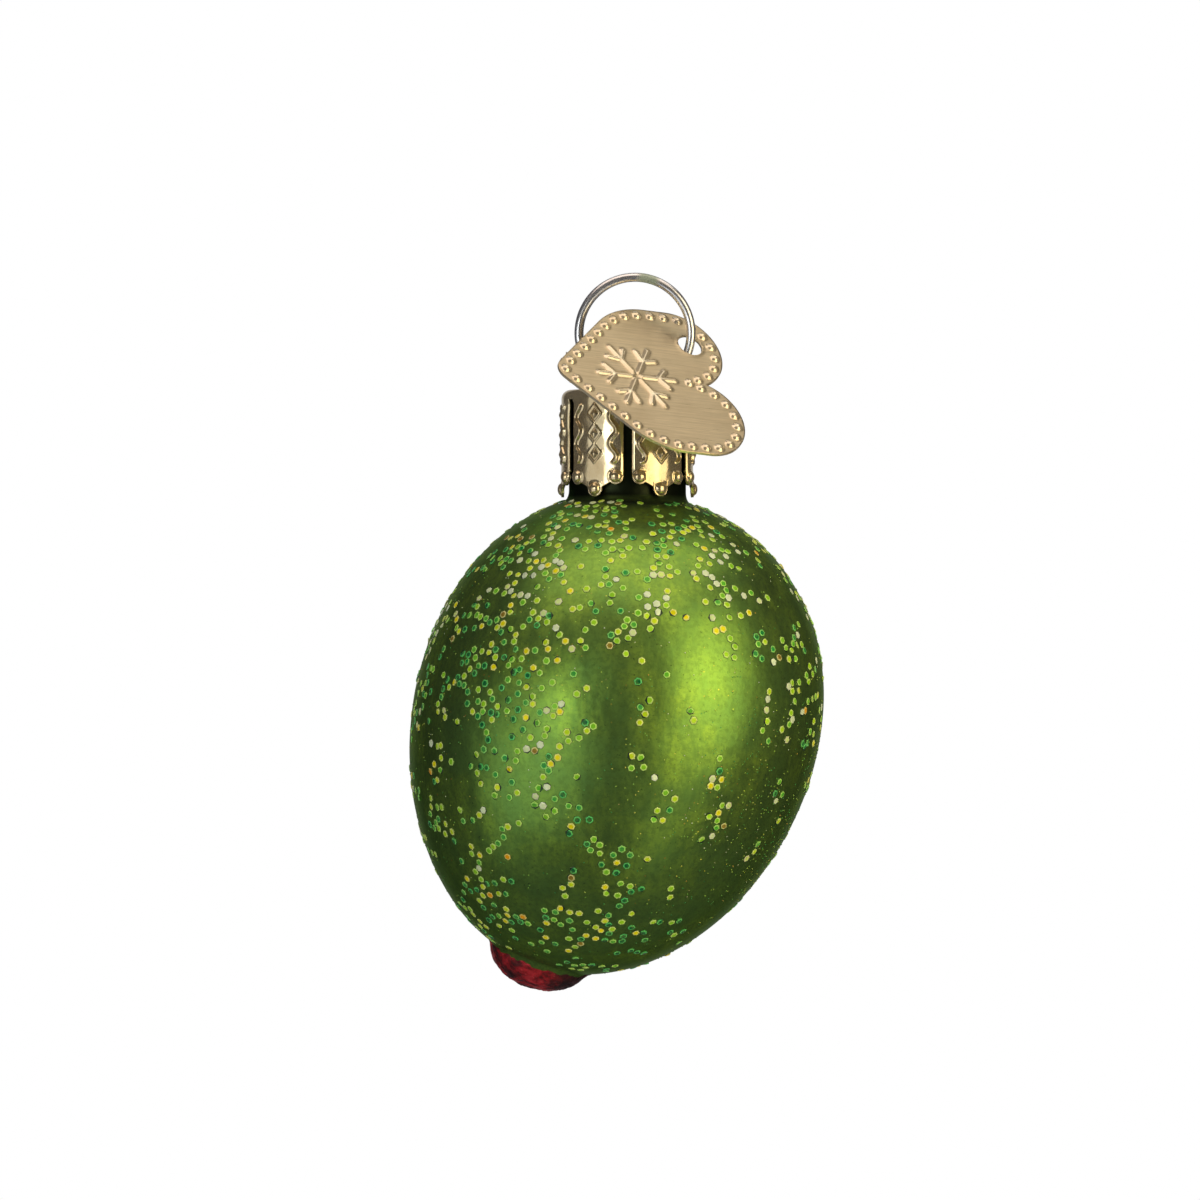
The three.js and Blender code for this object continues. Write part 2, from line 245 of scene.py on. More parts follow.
def thicken(piece, thickness, rim_material=0):
    """Gives a sheet its thickness, inwards from its stamped side."""
    sheet = piece.modifiers.new("sheet", "SOLIDIFY")
    sheet.thickness = thickness * MM
    sheet.offset = -1
    sheet.material_offset_rim = rim_material
    depsgraph = bpy.context.evaluated_depsgraph_get()
    solid = bpy.data.meshes.new_from_object(piece.evaluated_get(depsgraph))
    piece.modifiers.clear()
    piece.data = solid
    solid.polygons.foreach_set("use_smooth", np.ones(len(solid.polygons), bool))
    solid.update()


def ring_faces(rows, columns, first_pole=None, last_pole=None, start=0):
    """Quads between rows of a closed ring, and fans of triangles at the poles."""
    starts = range(start, start + rows * columns, columns)
    pairs = [(j, (j + 1) % columns) for j in range(columns)]
    faces = [(upper + j, lower + j, lower + k, upper + k)
             for upper, lower in zip(starts, starts[1:]) for j, k in pairs]
    if first_pole is not None:
        faces += [(first_pole, starts[0] + j, starts[0] + k) for j, k in pairs]
    if last_pole is not None:
        faces += [(last_pole, starts[-1] + k, starts[-1] + j) for j, k in pairs]
    return faces


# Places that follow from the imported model
cap_low, cap_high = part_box("cap")
NECK_X = (cap_low[0] + cap_high[0]) / 2 / MM
CAP_TOP = cap_high[2] / MM
CAP_MIDDLE = np.array([NECK_X, 0, CAP_TOP])
SHOULDER_HEIGHT = CAP_TOP - SEAT_DEPTH - SHOULDER_GAP

OLIVE_UP = np.array(Vector((math.tan(LEAN_SIDEWAYS), -math.tan(LEAN_BACK), 1)).normalized())
OLIVE_TURN = Vector((0, 0, 1)).rotation_difference(Vector(OLIVE_UP))
OLIVE_BASIS = np.array(OLIVE_TURN.to_matrix())


def green_reach(directions):
    """Distance from the olive's centre to its surface without the pimiento, along unit vectors."""
    cosine = directions @ OLIVE_UP
    sine = np.sqrt(np.clip(1 - cosine ** 2, 0, None))
    crown_share = smooth_step(cosine, -SQUARENESS_BLEND, SQUARENESS_BLEND)
    power = TAIL_SQUARENESS + crown_share * (CROWN_SQUARENESS - TAIL_SQUARENESS)
    length = TAIL_LENGTH + crown_share * (CROWN_LENGTH - TAIL_LENGTH)
    return ((sine / OLIVE_RADIUS) ** power + (np.abs(cosine) / length) ** power) ** (-1 / power)


def crown_ring(radius, around):
    """Heights over the olive's centre of its surface, along a circle round the neck's axis."""
    x, y = radius * around.T
    low = np.zeros_like(x)
    high = np.full_like(x, 2 * CROWN_LENGTH)
    for _ in range(40):
        middle = (low + high) / 2
        points = np.stack([x - OLIVE_OFFSET, y, middle], axis=-1)
        reach = np.linalg.norm(points, axis=-1)
        inside = reach < green_reach(points / reach[:, None])
        low = np.where(inside, middle, low)
        high = np.where(inside, high, middle)
    return low


OLIVE_CENTRE = np.array([
    NECK_X + OLIVE_OFFSET, 0, SHOULDER_HEIGHT - crown_ring(CAP_RADIUS, circle(72)).max()])


def nub_reach(directions):
    """Distance along unit vectors to the far side of the pimiento's nub, or zero off it."""
    size = np.array([NUB_RADIUS, NUB_RADIUS, NUB_HALF_HEIGHT])
    centre = np.array([NUB_SHIFT, 0, -(TAIL_LENGTH + NUB_PROUD - NUB_HALF_HEIGHT)]) / size
    step = directions @ OLIVE_BASIS / size
    a = (step ** 2).sum(axis=-1)
    b = step @ centre
    inner = b ** 2 - a * ((centre ** 2).sum() - 1)
    return np.where((inner > 0) & (b > 0), (b + np.sqrt(np.clip(inner, 0, None))) / a, 0)


def unevenness(directions):
    """Slow waves of hand-blown glass, always inwards."""
    waves = noise_at(directions, 2.3) + 0.5 * noise_at(directions, 5.1)
    return UNEVENNESS * (waves * 0.6 - 0.6)


def olive_reach(directions):
    """Distance from the olive's centre to the glass, with the pimiento's nub blended in."""
    flat = directions.reshape(-1, 3)
    green = green_reach(flat)
    nub = nub_reach(flat)
    share = np.clip(0.5 + 0.5 * (nub - green) / NUB_BLEND, 0, 1)
    reach = green + share * (nub - green) + NUB_BLEND * share * (1 - share)
    return (reach + unevenness(flat)).reshape(directions.shape[:-1])


def on_olive(directions, lift=0):
    return OLIVE_CENTRE + directions * (olive_reach(directions) + lift)[..., None]


def olive_normals(directions):
    """Unit normals of the glass by small steps across the surface."""

    def slope(way):
        step = 0.004 * way
        return on_olive(unit(directions + step)) - on_olive(unit(directions - step))

    side = unit(np.cross(directions, [0.1, 0.97, 0.2]))
    normals = unit(np.cross(slope(side), slope(unit(np.cross(directions, side)))))
    return normals * np.sign((normals * directions).sum(axis=-1, keepdims=True))


# Node helpers


def new_material(name):
    material = bpy.data.materials.new(name)
    material.use_nodes = True
    tree = material.node_tree
    return material, tree, tree.nodes["Principled BSDF"]


def feed(tree, sockets, values):
    """Links each node output to its socket, and sets the socket where the value is a constant."""
    for socket, value in zip(sockets, values):
        if isinstance(value, bpy.types.NodeSocket):
            tree.links.new(value, socket)
        else:
            socket.default_value = value


def add_node(tree, kind, settings=None, **sockets):
    """A node with its settings, and its input sockets by name with spaces as underscores."""
    made = tree.nodes.new(kind)
    for key, value in (settings or {}).items():
        setattr(made, key, value)
    feed(tree, [made.inputs[key.replace("_", " ")] for key in sockets], sockets.values())
    return made


def dress(tree, surface, base, roughness, metallic=0.0, normal=None):
    """Sets what every surface has."""
    feed(tree, [surface.inputs[name] for name in ("Base Color", "Roughness", "Metallic")],
         (base, roughness, metallic))
    if normal is not None:
        tree.links.new(normal, surface.inputs["Normal"])


def noise_field(tree, coordinates, scale, detail=2.0, roughness=0.5, distortion=0.0):
    made = add_node(
        tree, "ShaderNodeTexNoise", Vector=coordinates, Scale=scale, Detail=detail,
        Roughness=roughness, Distortion=distortion)
    return made.outputs["Fac"]


def stretched(tree, coordinates, scale, rotation=(0, 0, 0)):
    made = add_node(tree, "ShaderNodeMapping", Vector=coordinates, Scale=scale, Rotation=rotation)
    return made.outputs["Vector"]


def remap(tree, value, low, high, to_low=0.0, to_high=1.0):
    made = add_node(tree, "ShaderNodeMapRange", Value=value, From_Min=low, From_Max=high,
                    To_Min=to_low, To_Max=to_high)
    return made.outputs["Result"]


def mixed(tree, share, first, second):
    """Two colours mixed by a share."""
    made = add_node(tree, "ShaderNodeMix", {"data_type": "RGBA"})
    feed(tree, (made.inputs[0], made.inputs[6], made.inputs[7]), (share, first, second))
    return made.outputs[2]


def ramp(tree, value, stops):
    made = add_node(tree, "ShaderNodeValToRGB", Fac=value)
    elements = made.color_ramp.elements
    while len(elements) < len(stops):
        elements.new(0.5)
    for element, (position, colour) in zip(elements, stops):
        element.position = position
        element.color = (*colour, 1)
    return made.outputs["Color"]


def maths(tree, operation, first, second):
    made = add_node(tree, "ShaderNodeMath", {"operation": operation})
    feed(tree, made.inputs, (first, second))
    return made.outputs[0]


def product(tree, first, second):
    return maths(tree, "MULTIPLY", first, second)


def distance_from(tree, vector, origin=(0, 0, 0)):
    made = add_node(tree, "ShaderNodeVectorMath", {"operation": "DISTANCE"}, Vector=vector)
    made.inputs[1].default_value = origin
    return made.outputs["Value"]


def along_axis(tree, vector, axis):
    return add_node(tree, "ShaderNodeSeparateXYZ", Vector=vector).outputs[axis]


def bump(tree, height, strength, distance, normal=None):
    made = add_node(tree, "ShaderNodeBump", Height=height, Strength=strength, Distance=distance)
    if normal is not None:
        tree.links.new(normal, made.inputs["Normal"])
    return made.outputs["Normal"]


def object_coordinates(tree):
    return tree.nodes.new("ShaderNodeTexCoord").outputs["Object"]


def mixed_shaders(tree, share, first, second, out):
    """Ends a tree in two shaders mixed by a share."""
    mix = tree.nodes.new("ShaderNodeMixShader")
    feed(tree, mix.inputs, (share, first.outputs[0], second.outputs[0]))
    tree.links.new(mix.outputs[0], out.inputs["Surface"])


# Materials


DUST_COLOURS = (
    (0.0, (0.55, 0.75, 0.08)), (0.5, (0.8, 0.62, 0.08)), (0.8, (0.75, 0.35, 0.05)),
    (1.0, (0.2, 0.7, 0.3)))
GRIT_REDS = (
    (0.36, (0.040, 0.008, 0.006)), (0.45, (0.16, 0.008, 0.010)), (0.54, (0.44, 0.012, 0.020)),
    (0.68, (0.74, 0.04, 0.055)))
FLAKE_FACES = (
    (0.00, (0.006, 0.15, 0.045)), (0.12, (0.02, 0.36, 0.07)), (0.25, (0.13, 0.60, 0.04)),
    (0.38, (0.42, 0.85, 0.02)), (0.52, (0.80, 1.00, 0.02)), (0.64, (1.00, 0.92, 0.002)),
    (0.70, (1.00, 0.42, 0.002)), (0.76, (0.30, 0.19, 0.03)), (0.84, (0.75, 1.00, 0.20)),
    (1.00, (0.84, 1.00, 0.68)))
# Lighter colours for the flakes' bevelled edges than for their faces: painted highlight on the
# edges.
FLAKE_EDGE_HIGHLIGHTS = (
    (0.00, (0.12, 0.70, 0.18)), (0.25, (0.55, 1.00, 0.20)), (0.50, (0.86, 1.00, 0.30)),
    (0.64, (0.95, 1.00, 0.28)), (0.70, (1.00, 0.78, 0.20)), (0.76, (0.75, 0.74, 0.30)),
    (1.00, (0.86, 1.00, 0.72)))


def green_lacquer():
    """Satin metallic green lacquer, mottled, with fine dust sealed in it, and with painted shade
    round the neck and near black on it, under the cap.
    """
    material, tree, surface = new_material("green_lacquer")
    place = object_coordinates(tree)
    lean = (0, math.radians(-16), 0)
    streaks = noise_field(tree, stretched(tree, place, (1, 1, 0.3), lean), 520, 6, 0.68)
    bands = noise_field(tree, stretched(tree, place, (0.35, 0.35, 1), lean), 330, 4, 0.6)
    cloud = noise_field(tree, place, 150, 4, 0.5)
    grain = noise_field(tree, place, 2400, 3, 0.7)
    specks = noise_field(tree, place, 3400, 2, 0.6)
    base = mixed(
        tree, remap(tree, streaks, 0.38, 0.62), (0.195, 0.36, 0.052, 1), (0.39, 0.62, 0.066, 1))
    for field, low, high, most, colour in (
        (bands, 0.42, 0.62, 0.6, (0.18, 0.36, 0.066, 1)),
        (cloud, 0.42, 0.62, 0.55, (0.19, 0.40, 0.078, 1)),
        (grain, 0.46, 0.60, 0.55, (0.16, 0.30, 0.046, 1)),
        (specks, 0.66, 0.74, 0.6, (0.03, 0.07, 0.012, 1)),
    ):
        base = mixed(tree, remap(tree, field, low, high, 0, most), base, colour)

    cells = add_node(tree, "ShaderNodeTexVoronoi", Vector=place, Scale=2300)
    dot = remap(tree, cells.outputs["Distance"], 0.13, 0.19, 1, 0)
    pick = add_node(tree, "ShaderNodeSeparateColor", Color=cells.outputs["Color"])
    chosen = remap(tree, pick.outputs[0], 0.86, 0.87)
    dusty = remap(tree, noise_field(tree, place, 90), 0.45, 0.62)
    dust_colour = ramp(tree, pick.outputs[1], DUST_COLOURS)
    base = mixed(tree, product(tree, product(tree, dot, chosen), dusty), base, dust_colour)

    height = along_axis(tree, place, "Z")
    # Painted shade: the crown round the neck, under the cap, is painted dark green.
    from_neck = add_node(
        tree, "ShaderNodeMapping", Vector=place, Location=(-NECK_X * MM, 0, 0), Scale=(1, 1, 0))
    rim = remap(tree, distance_from(tree, from_neck.outputs[0]), 5.8 * MM, 9.5 * MM, 0.85, 0)
    rising = remap(tree, height, (SHOULDER_HEIGHT - 4) * MM, (SHOULDER_HEIGHT - 2) * MM)
    rim = product(tree, rim, rising)
    base = mixed(tree, rim, base, (0.045, 0.085, 0.02, 1))
    # Painted shade: the neck under the cap is painted near black, and its coat is thinner there.
    on_neck = remap(tree, height, (SHOULDER_HEIGHT - 0.1) * MM, (SHOULDER_HEIGHT + 0.5) * MM)
    base = mixed(tree, on_neck, base, (0.02, 0.026, 0.012, 1))
    fine = bump(tree, noise_field(tree, place, 1500, 3), 0.3, 0.00006)
    dents = bump(tree, noise_field(tree, place, 260, 3), 0.7, 0.00014, fine)
    dress(tree, surface, base, remap(tree, streaks, 0.3, 0.7, 0.33, 0.42), 0.92, dents)
    surface.inputs["Specular Tint"].default_value = (0.35, 0.45, 0.25, 1)
    tree.links.new(remap(tree, on_neck, 0, 1, 0.55, 0.05), surface.inputs["Coat Weight"])
    surface.inputs["Coat Roughness"].default_value = 0.85
    surface.inputs["Coat Tint"].default_value = (0.95, 1.0, 1.0, 1)
    return material


def silvered_glass():
    """The inside and the cut rim of the glass, grey with its silvering."""
    material, tree, surface = new_material("silvered_glass")
    stain = noise_field(tree, object_coordinates(tree), 300, 5, 0.6)
    base = mixed(tree, remap(tree, stain, 0.35, 0.7), (0.5, 0.52, 0.5, 1), (0.3, 0.34, 0.3, 1))
    dress(tree, surface, base, remap(tree, stain, 0.3, 0.7, 0.14, 0.3), 0.9)
    return material


def pimiento_grit():
    """Dark red lacquer, gritty and mottled, and nearly black on its right, which is painted shade.
    """
    material, tree, surface = new_material("pimiento_grit")
    place = object_coordinates(tree)
    patches = noise_field(tree, place, 620, 4, 0.62, 0.6)
    grains = add_node(tree, "ShaderNodeTexVoronoi", Vector=place, Scale=2600).outputs["Distance"]
    base = ramp(tree, patches, GRIT_REDS)
    glint = remap(tree, grains, 0.1, 0.2, 0.5, 0)
    glint = product(tree, glint, remap(tree, patches, 0.45, 0.6))
    base = mixed(tree, glint, base, (0.85, 0.2, 0.2, 1))
    # Painted shade: the right of the nub is painted nearly black.
    painted_shade_side = remap(tree, along_axis(tree, place, "X"), -8.3 * MM, -6.5 * MM, 0, 0.9)
    base = mixed(tree, painted_shade_side, base, (0.028, 0.010, 0.007, 1))
    dress(tree, surface, base, remap(tree, patches, 0.3, 0.7, 0.6, 0.35), 0.35,
          bump(tree, grains, 0.5, 0.0001))
    return material


def flake_look(name, stops, roughness):
    """Holographic foil: each flake takes its colour from the hue drawn for it."""
    material, tree, surface = new_material(name)
    hue = add_node(tree, "ShaderNodeAttribute", {"attribute_name": "hue"}).outputs["Fac"]
    shimmer = noise_field(tree, object_coordinates(tree), 2600)
    tinge = remap(tree, shimmer, 0.4, 0.75, 0, 0.18)
    base = mixed(tree, tinge, ramp(tree, hue, stops), (0.6, 0.8, 0.1, 1))
    shine = remap(tree, shimmer, 0.3, 0.7, roughness - 0.06, roughness + 0.08)
    dress(tree, surface, base, shine, 0.12)
    surface.inputs["Specular IOR Level"].default_value = 0.15
    return material


def painted_flake_shadow():
    """Painted shadow: the dark ring round each flake, standing for the shade it casts on the glass.
    """
    material, tree, surface = new_material("painted_flake_shadow")
    shade = noise_field(tree, object_coordinates(tree), 900, 3)
    base = mixed(
        tree, remap(tree, shade, 0.3, 0.7), (0.012, 0.035, 0.010, 1), (0.03, 0.07, 0.014, 1))
    dress(tree, surface, base, remap(tree, shade, 0.3, 0.7, 0.3, 0.45))
    return material


def pale_gold(name, base_dark, base_light, roughness, metallic):
    """Stamped gold-toned sheet with faint tarnish and press marks."""
    material, tree, surface = new_material(name)
    place = object_coordinates(tree)
    tarnish = noise_field(tree, place, 380, 5, 0.6)
    base = mixed(tree, remap(tree, tarnish, 0.3, 0.72), (*base_light, 1), (*base_dark, 1))
    marks = bump(tree, noise_field(tree, place, 900, 3), 0.22, 0.00012)
    dress(tree, surface, base, remap(tree, tarnish, 0.3, 0.7, *roughness), metallic, marks)
    return material


def brushed_gold(turn):
    """Pale gold brushed along the tag, from lobes to tip."""
    material, tree, surface = new_material("brushed_gold")
    turned = add_node(
        tree, "ShaderNodeVectorRotate", {"rotation_type": "EULER_XYZ", "invert": True},
        Vector=object_coordinates(tree), Rotation=tuple(turn.to_euler("XYZ")))
    local = turned.outputs["Vector"]
    grain = noise_field(tree, stretched(tree, local, (1, 0.035, 1)), 7000, 3, 0.7)
    cloud = noise_field(tree, local, 260, 3)
    base = mixed(tree, remap(tree, grain, 0.3, 0.7), (0.51, 0.42, 0.26, 1), (0.75, 0.63, 0.41, 1))
    base = mixed(tree, remap(tree, cloud, 0.4, 0.75, 0, 0.4), base, (0.42, 0.33, 0.19, 1))
    dress(tree, surface, base, remap(tree, grain, 0.25, 0.75, 0.26, 0.44), 0.85,
          bump(tree, grain, 0.3, 0.00004))
    return material


def bright_wire():
    """Drawn spring wire with a small greenish-grey, less metallic patch beside the top of the ring.
    """
    material, tree, surface = new_material("bright_wire")
    place = object_coordinates(tree)
    scuffs = noise_field(tree, place, 1200, 4, 0.6)
    base = mixed(tree, remap(tree, scuffs, 0.35, 0.7), (0.97, 0.97, 0.97, 1), (0.80, 0.81, 0.82, 1))
    away = distance_from(tree, place, (1.2 * MM, -0.2 * MM, 0.2 * MM))
    patch = remap(tree, away, 0.7 * MM, 1.2 * MM, 1, 0)
    patch = product(tree, patch, remap(tree, scuffs, 0.3, 0.4))
    base = mixed(tree, patch, base, (0.42, 0.51, 0.42, 1))
    dress(tree, surface, base, remap(tree, scuffs, 0.3, 0.7, 0.18, 0.32),
          remap(tree, patch, 0, 1, 0.9, 0.2))
    return material


# Glass


def glass_olive(lacquer, silver):
    """One closed skin: up the inside from the tail, over the rim, and down the outside."""
    around = circle(GLASS_COLUMNS)
    tail = -OLIVE_UP

    def ring(radius, height):
        flat = np.array([NECK_X, 0]) + np.asarray(radius).reshape(-1, 1) * around
        return np.column_stack([flat, np.broadcast_to(height, GLASS_COLUMNS)])

    def to_tail(start_radius, count, lift):
        height = OLIVE_CENTRE[2] + crown_ring(start_radius, around)
        start = unit(ring(start_radius, height) - OLIVE_CENTRE)
        turn = np.arccos(np.clip(start @ tail, -1, 1))[:, None]
        made = []
        for share in np.linspace(0, 1, count + 1)[:-1]:
            way = np.sin((1 - share) * turn) * start + np.sin(share * turn) * tail
            made.append(on_olive(way / np.sin(turn), lift))
        return made

    rim = CAP_TOP - NECK_RIM_DEPTH
    bore = NECK_RADIUS - NECK_WALL
    lip = NECK_WALL / 2
    outer = to_tail(NECK_RADIUS + FILLET_OUT, OUTER_ROWS, 0)
    inner = to_tail(bore + FILLET_OUT, INNER_ROWS, -GLASS_WALL)
    crown = outer[0][:, 2]
    inner_crown = inner[0][:, 2]
    rows = inner[::-1]
    for share in (0.3, 0.6, 0.85):
        rows.append(ring(
            bore + FILLET_OUT * (1 - share) ** 2, inner_crown + FILLET_UP * share ** 2))
    bore_start = inner_crown + FILLET_UP
    for share in (0.0, 0.5, 1.0):
        rows.append(ring(bore, bore_start + share * (rim - lip - bore_start)))
    for angle in np.linspace(np.pi, 0, 9)[1:-1]:
        rows.append(ring(bore + lip + lip * math.cos(angle), rim - lip + lip * math.sin(angle)))
    silvered_rows = len(rows)
    for share in np.linspace(0, 1, 14):
        rows.append(ring(NECK_RADIUS, rim - lip + share * (crown + FILLET_UP - rim + lip)))
    for share in np.linspace(0, 1, 9)[1:-1]:
        rows.append(ring(
            NECK_RADIUS + FILLET_OUT * share ** 2, crown + FILLET_UP * (1 - share) ** 2))
    rows += outer
    ends = on_olive(np.array([tail, tail]))
    ends[0] += OLIVE_UP * GLASS_WALL
    points = np.concatenate(rows + [ends])
    faces = ring_faces(len(rows), GLASS_COLUMNS, len(points) - 2, len(points) - 1)
    materials = np.zeros(len(faces), int)
    materials[:silvered_rows * GLASS_COLUMNS] = 1
    materials[-2 * GLASS_COLUMNS:-GLASS_COLUMNS] = 1
    return make_piece("olive_glass", points, faces, [lacquer, silver], materials)


def pimiento(grit):
    """The ragged coat of red grit over the nub at the tail."""
    axis = unit(OLIVE_BASIS @ np.array(
        [NUB_SHIFT * 1.15, TAIL_LENGTH * math.tan(COAT_BACK), -TAIL_LENGTH]))
    side = unit(np.cross(axis, [0, 1, 0]))
    around = circle(COAT_COLUMNS)

    def edge_noise(scale, level):
        return noise_at(np.column_stack([scale * around, np.full(COAT_COLUMNS, level)]), 1)

    ragged = 1 + COAT_RAGGEDNESS * edge_noise(3, 4.2) + COAT_FINE_RAGGEDNESS * edge_noise(11, 1.7)
    shares = np.arange(1, COAT_ROWS + 1) / COAT_ROWS
    spread = COAT_SPAN * np.outer(shares, ragged)[..., None]
    net = np.cos(spread) * axis + np.sin(spread) * (around @ [side, np.cross(axis, side)])
    directions = np.concatenate([[axis], net.reshape(-1, 3)])
    shares = np.concatenate([[0], np.repeat(shares, COAT_COLUMNS)])
    body = 1 - smooth_step(shares, 0.9, 1.0)
    thickness = COAT_THICKNESS + COAT_LUMP / 2 * noise_at(directions, 26)
    thickness += COAT_GRIT * noise_at(directions, 120)
    thickness = np.clip(thickness * body - 0.05 * (1 - body), -0.06, None)
    outer = on_olive(directions) + directions * thickness[:, None]
    inner = on_olive(directions, -COAT_UNDER)
    count = len(directions)
    faces = ring_faces(COAT_ROWS, COAT_COLUMNS, 0, start=1)
    faces += [tuple(v + count for v in reversed(face)) for face in faces]
    edge = range(count - COAT_COLUMNS, count)
    faces += [(v, v + count, k + count, k) for v, k in zip(edge, (*edge[1:], edge[0]))]
    return make_piece("pimiento_coat", np.concatenate([outer, inner]), faces, [grit])


# Glitter


# Where flakes lie thickly in the photograph: the place over the olive's centre, the half width, the
# half height and the weight of each cluster
CLUSTERS = (
    (-9.5, 6.5, 5.5, 7.0, 1.0),
    (-14.5, -1.0, 3.5, 7.0, 0.42),
    (-1.0, 14.0, 7.0, 4.5, 1.0),
    (5.5, 17.5, 9.0, 3.5, 1.0),
    (16.5, 6.0, 3.0, 9.0, 0.28),
    (12.0, 10.0, 4.0, 6.0, 0.15),
    (-5.0, -4.0, 2.5, 6.0, 0.35),
    (-1.5, -19.0, 7.0, 4.0, 0.6),
    (-11.0, -15.0, 4.0, 6.0, 0.55),
    (7.5, 9.0, 3.0, 4.0, 0.3),
)
# Share of flakes up to each step, and the hue there
HUE_STEPS = (
    (0.0, 0.0), (0.12, 0.04), (0.26, 0.14), (0.42, 0.27), (0.66, 0.38), (0.87, 0.52),
    (0.88, 0.84), (1.0, 1.0))
RARE_HUES = ((0.06, 0.64), (0.072, 0.70), (0.085, 0.76))


def glitter_density(point):
    """How thickly flakes lie at a point: in clusters on the front, and thinner round the back."""
    x, y, z = point - OLIVE_CENTRE
    front = smooth_step(-y, -6.0, 4.0)
    seen = 0.1
    for centre_x, centre_z, wide, tall, weight in CLUSTERS:
        seen += weight * math.exp(-((x - centre_x) / wide) ** 2 - ((z - centre_z) / tall) ** 2)
    hidden = 0.28 + 0.3 * smooth_step(z, 0.0, 16.0)
    return float(front * min(seen, 1.0) + (1 - front) * hidden)


def dust_density(point):
    """Fine dust lies all over, and most thickly low on the right."""
    x, _, z = point - OLIVE_CENTRE
    return 0.15 + 0.85 * math.exp(-((x - 12.0) / 5.0) ** 2 - ((z + 8.0) / 8.0) ** 2)


def drawn_vector(chooser):
    return np.array([chooser.gauss(0, 1) for _ in range(3)])


def spread_flakes(chooser, density, count, spacing, chain):
    """Unit directions of flakes: seeds by density, each with a chain of neighbours close by."""
    kept = []
    cells = {}

    def place_of(direction):
        return OLIVE_CENTRE + direction * float(green_reach(direction[None])[0])

    def keep_if_free(direction, point):
        """Keeps a flake that is clear of the cap, the pimiento and the other flakes."""
        from_neck = math.hypot(point[0] - NECK_X, point[1])
        if from_neck < CAP_RADIUS - 0.2 and point[2] > OLIVE_CENTRE[2]:
            return
        if np.dot(direction, -OLIVE_UP) > math.cos(COAT_SPAN * 1.12):
            return
        cell = tuple(int(math.floor(v / spacing)) for v in point)
        for near_cell in itertools.product(*((v - 1, v, v + 1) for v in cell)):
            if any(np.linalg.norm(other - point) < spacing for other in cells.get(near_cell, ())):
                return
        cells.setdefault(cell, []).append(point)
        kept.append(direction)

    while len(kept) < count:
        near = unit(drawn_vector(chooser))
        point = place_of(near)
        if chooser.random() > density(point):
            continue
        keep_if_free(near, point)
        heading = unit(drawn_vector(chooser))
        for _ in range(int(chooser.random() ** 2.2 * chain)):
            heading = unit(heading + 1.1 * drawn_vector(chooser))
            across = unit(heading - near * np.dot(heading, near))
            near = unit(near + across * spacing * chooser.uniform(1.0, 1.9) / OLIVE_RADIUS)
            keep_if_free(near, place_of(near))
    return np.array(kept[:count])


def flake_hue(place, chooser):
    """A hue for one flake. Neighbours tend to look alike."""
    drawn = chooser.random()
    for share, hue in RARE_HUES:
        if drawn < share:
            return hue
    across, _, rise = place - OLIVE_CENTRE
    # The hues drift paler towards the top and the right, which is painted highlight where the lamps
    # fall, and greener near the crown.
    drift = 0.4 * noise.noise(Vector(place) * 0.17) + 0.004 * across + 0.009 * rise
    drift -= 0.2 * smooth_step(rise, 14, 18)
    share = min(max(chooser.random() + drift, 0), 1)
    return float(np.interp(share, *zip(*HUE_STEPS)))


def flake_piece(name, directions, chooser, materials, half_width, thickness, tilt, sides):
    """Small bevelled flakes lying on the glass, each in a dark ring of painted shadow, as one
    piece.
    """
    face_look, edge_look, shadow_look = range(3)
    around = circle(sides)
    points = []
    faces = []
    face_materials = []
    hues = []
    for place, normal in zip(on_olive(directions), olive_normals(directions)):
        side = unit(np.cross(normal, drawn_vector(chooser)))
        tilted = unit(normal + chooser.gauss(0, tilt) * side)
        size = half_width * chooser.uniform(0.94, 1.08)
        hue = flake_hue(place, chooser)
        # The dark ring under each flake is painted shadow.
        shadow_rings = ((size * 1.14, -0.012), (size * 0.98, 0.02))
        flake = ((size, -0.06), (size, thickness * 0.6), (size * 0.66, thickness))
        for upward, rings, wall, lid in (
            (normal, shadow_rings, shadow_look, shadow_look),
            (tilted, flake, edge_look, face_look),
        ):
            across = unit(side - upward * np.dot(side, upward))
            disc = around @ [across, np.cross(upward, across)]
            start = len(points)
            for radius, height in rings:
                points += list(place + radius * disc + height * upward)
            walls = ring_faces(len(rings), sides, start=start)
            faces += [face[::-1] for face in walls]
            faces += [range(len(points) - sides, len(points)), range(start, start + sides)[::-1]]
            face_materials += [wall] * len(walls) + [lid, wall]
        hues += [hue] * (len(faces) - len(hues))
    piece = make_piece(name, points, faces, materials, face_materials, smooth=False)
    layer = piece.data.attributes.new("hue", "FLOAT", "FACE")
    layer.data.foreach_set("value", hues)
    return piece


# Cap


def strap_end(arc):
    """Depth of the scalloped end of a strap, at an arc length from its middle."""
    rounding = 1e-9
    depths = np.full_like(arc, -np.inf)
    for centre, depth in SCALLOPS:
        reach = SCALLOP_RADIUS ** 2 - (arc - centre) ** 2
        scallop = depth + np.sqrt(np.clip(reach, 0, None))
        depths = np.maximum(depths, np.where(reach > -rounding, scallop, -np.inf))
    bridge = SCALLOP_DEPTH - np.abs(arc) / SCALLOP_ARC * SIDE_SCALLOP_RISE + BRIDGE_DROP
    return np.where(np.abs(arc) < SCALLOP_ARC, np.maximum(depths, bridge), depths)


def ridge(distance, width):
    return np.exp(-(distance / width) ** 2)


def dome(distance, radius, height):
    return height * np.sqrt(np.clip(1 - (distance / radius) ** 2, 0, None))


